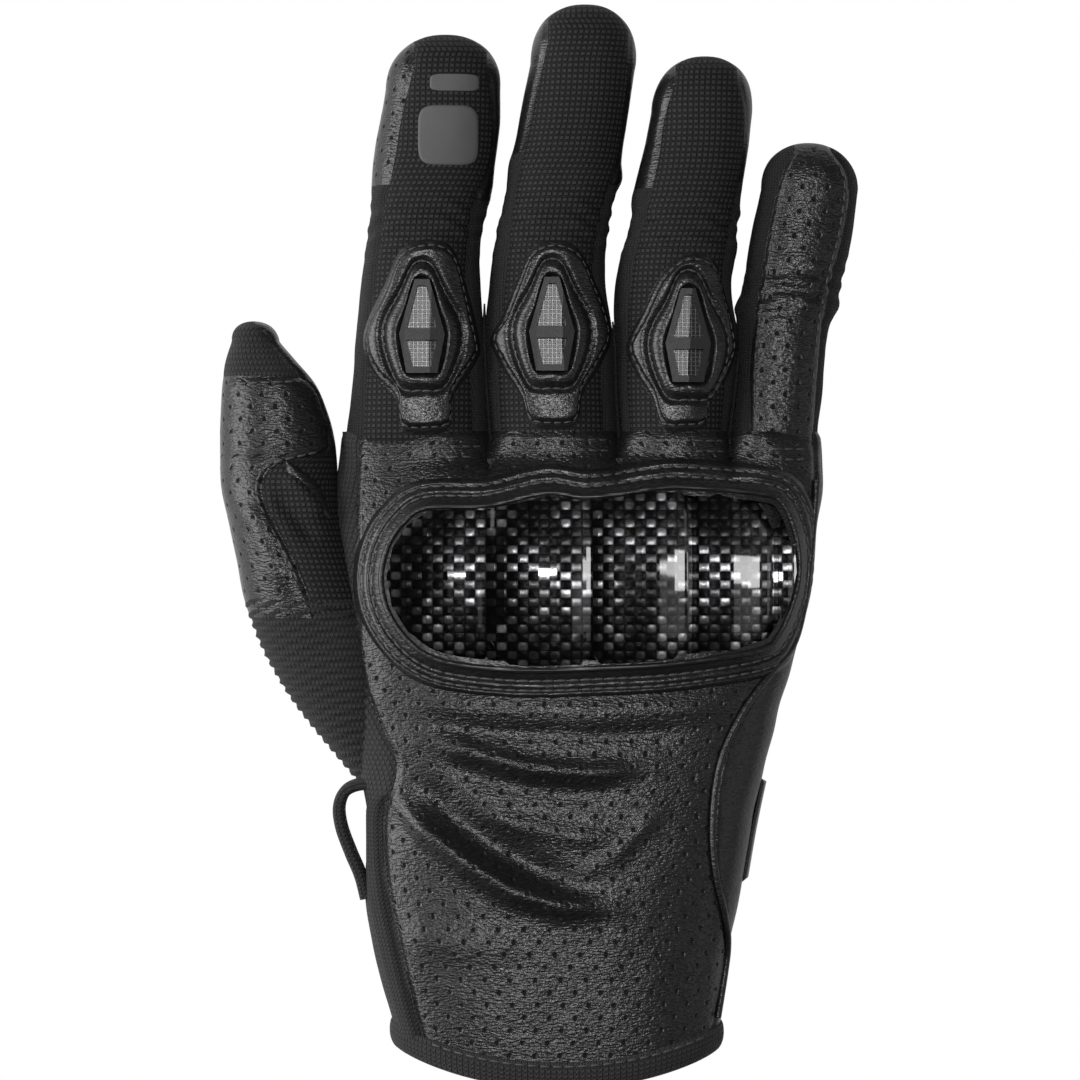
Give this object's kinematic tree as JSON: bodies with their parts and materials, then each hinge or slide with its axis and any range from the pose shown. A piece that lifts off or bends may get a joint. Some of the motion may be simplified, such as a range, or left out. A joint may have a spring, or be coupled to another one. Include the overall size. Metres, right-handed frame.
{
  "type": "motorcycle riding glove",
  "caption": "Short-cuff riding glove for the right hand: hard knuckle shell, vented finger armour, bending fingers and thumb, hook-and-loop wrist strap.",
  "frame": {"origin": "middle of the flat face of the palm patch, on the surface the glove lies on", "axes": "+Y towards the fingertips, +Z out of the back of the hand, +X towards the little finger"},
  "size_m": [0.1411, 0.2373, 0.0411],
  "materials": {
    "leather_perforated": "soft grain with punched holes",
    "leather_smooth": "satin grain",
    "knit_stretch": "matt knit",
    "palm_suede": "matt napped",
    "knit_tape": "matt knit tape",
    "rib_stretch": "ribbed",
    "woven_stretch": "coarse weave",
    "grid_fabric": "grid weave",
    "carbon_weave": "clear-coated plain weave",
    "foam": "closed cell foam",
    "loop_tape": "brushed loop",
    "hook_tape": "moulded hooks",
    "vent_plastic": "satin moulded",
    "vent_mesh": "light open mesh"
  },
  "bodies": {
    "hand": {"back_panel": "leather_perforated", "side_stretch_panel": "knit_stretch", "outer_side_panel": "leather_smooth", "palm_panel": "palm_suede", "cuff_binding": "knit_tape", "thumb_gusset": "rib_stretch", "thumb_palm": "palm_suede", "thumb_back": "leather_perforated", "thumb_stretch_window": "woven_stretch", "knuckle_guard": "carbon_weave", "guard_foam_pad": "foam", "guard_surround": "leather_smooth", "strap_loop_tape": "loop_tape", "strap_anchor": "leather_smooth", "pull_loop": "knit_tape", "palm_patch": "palm_suede"},
    "thumb_end": {"thumb_end_back": "leather_smooth", "thumb_end_palm": "palm_suede", "thumb_tip": "leather_smooth"},
    "strap": {"wrist_strap": "leather_smooth", "strap_hook_tape": "hook_tape"},
    "index_base": {"index_base_back": "grid_fabric", "index_base_palm": "palm_suede", "index_knuckle_pad": "leather_smooth", "index_vent_frame": "vent_plastic", "index_vent_mesh": "vent_mesh"},
    "index_end": {"index_end_back": "grid_fabric", "index_end_palm": "palm_suede", "index_tip_cap": "palm_suede"},
    "middle_base": {"middle_base_back": "grid_fabric", "middle_base_palm": "palm_suede", "middle_knuckle_pad": "leather_smooth", "middle_vent_frame": "vent_plastic", "middle_vent_mesh": "vent_mesh"},
    "middle_end": {"middle_end_back": "grid_fabric", "middle_end_palm": "palm_suede", "middle_tip_cap": "palm_suede"},
    "ring_base": {"ring_base_back": "grid_fabric", "ring_base_palm": "palm_suede", "ring_knuckle_pad": "leather_smooth", "ring_vent_frame": "vent_plastic", "ring_vent_mesh": "vent_mesh"},
    "ring_end": {"ring_end_back": "grid_fabric", "ring_end_palm": "palm_suede", "ring_tip_cap": "palm_suede"},
    "little_base": {"little_base_back": "leather_perforated", "little_base_palm": "palm_suede"},
    "little_end": {"little_end_back": "leather_perforated", "little_end_palm": "palm_suede", "little_tip_cap": "palm_suede"}
  },
  "joints": [
    {"name": "index_root_bend", "type": "hinge", "parent": "hand", "child": "index_base", "pos_m": [-0.0317, 0.044, 0.0012], "axis": [-1, 0, 0], "range_deg": [0, 60]},
    {"name": "index_middle_bend", "type": "hinge", "parent": "index_base", "child": "index_end", "pos_m": [-0.0303, 0.0885, 0.0012], "axis": [-0.9969, 0.0785, 0], "range_deg": [0, 70]},
    {"name": "middle_root_bend", "type": "hinge", "parent": "hand", "child": "middle_base", "pos_m": [-0.0012, 0.044, 0.0012], "axis": [-1, 0, 0], "range_deg": [0, 60]},
    {"name": "middle_middle_bend", "type": "hinge", "parent": "middle_base", "child": "middle_end", "pos_m": [-0.0019, 0.089, 0.0012], "axis": [-0.9945, 0.1045, 0], "range_deg": [0, 70]},
    {"name": "ring_root_bend", "type": "hinge", "parent": "hand", "child": "ring_base", "pos_m": [0.0251, 0.044, 0.0012], "axis": [-1, 0, 0], "range_deg": [0, 60]},
    {"name": "ring_middle_bend", "type": "hinge", "parent": "ring_base", "child": "ring_end", "pos_m": [0.0268, 0.0875, 0.0012], "axis": [-0.9936, 0.1132, 0], "range_deg": [0, 70]},
    {"name": "little_root_bend", "type": "hinge", "parent": "hand", "child": "little_base", "pos_m": [0.0478, 0.044, 0.0012], "axis": [-1, 0, 0], "range_deg": [0, 60]},
    {"name": "little_middle_bend", "type": "hinge", "parent": "little_base", "child": "little_end", "pos_m": [0.0512, 0.0735, 0.0012], "axis": [-0.9833, 0.1822, 0], "range_deg": [0, 70]},
    {"name": "thumb_bend", "type": "hinge", "parent": "hand", "child": "thumb_end", "pos_m": [-0.0618, 0.033, 0.0028], "axis": [-0.9962, -0.0872, 0], "range_deg": [0, 60]},
    {"name": "strap_peel", "type": "hinge", "parent": "hand", "child": "strap", "pos_m": [0.02675, -0.04175, 0.0016], "axis": [0, -1, 0], "range_deg": [0, 120]}
  ]
}
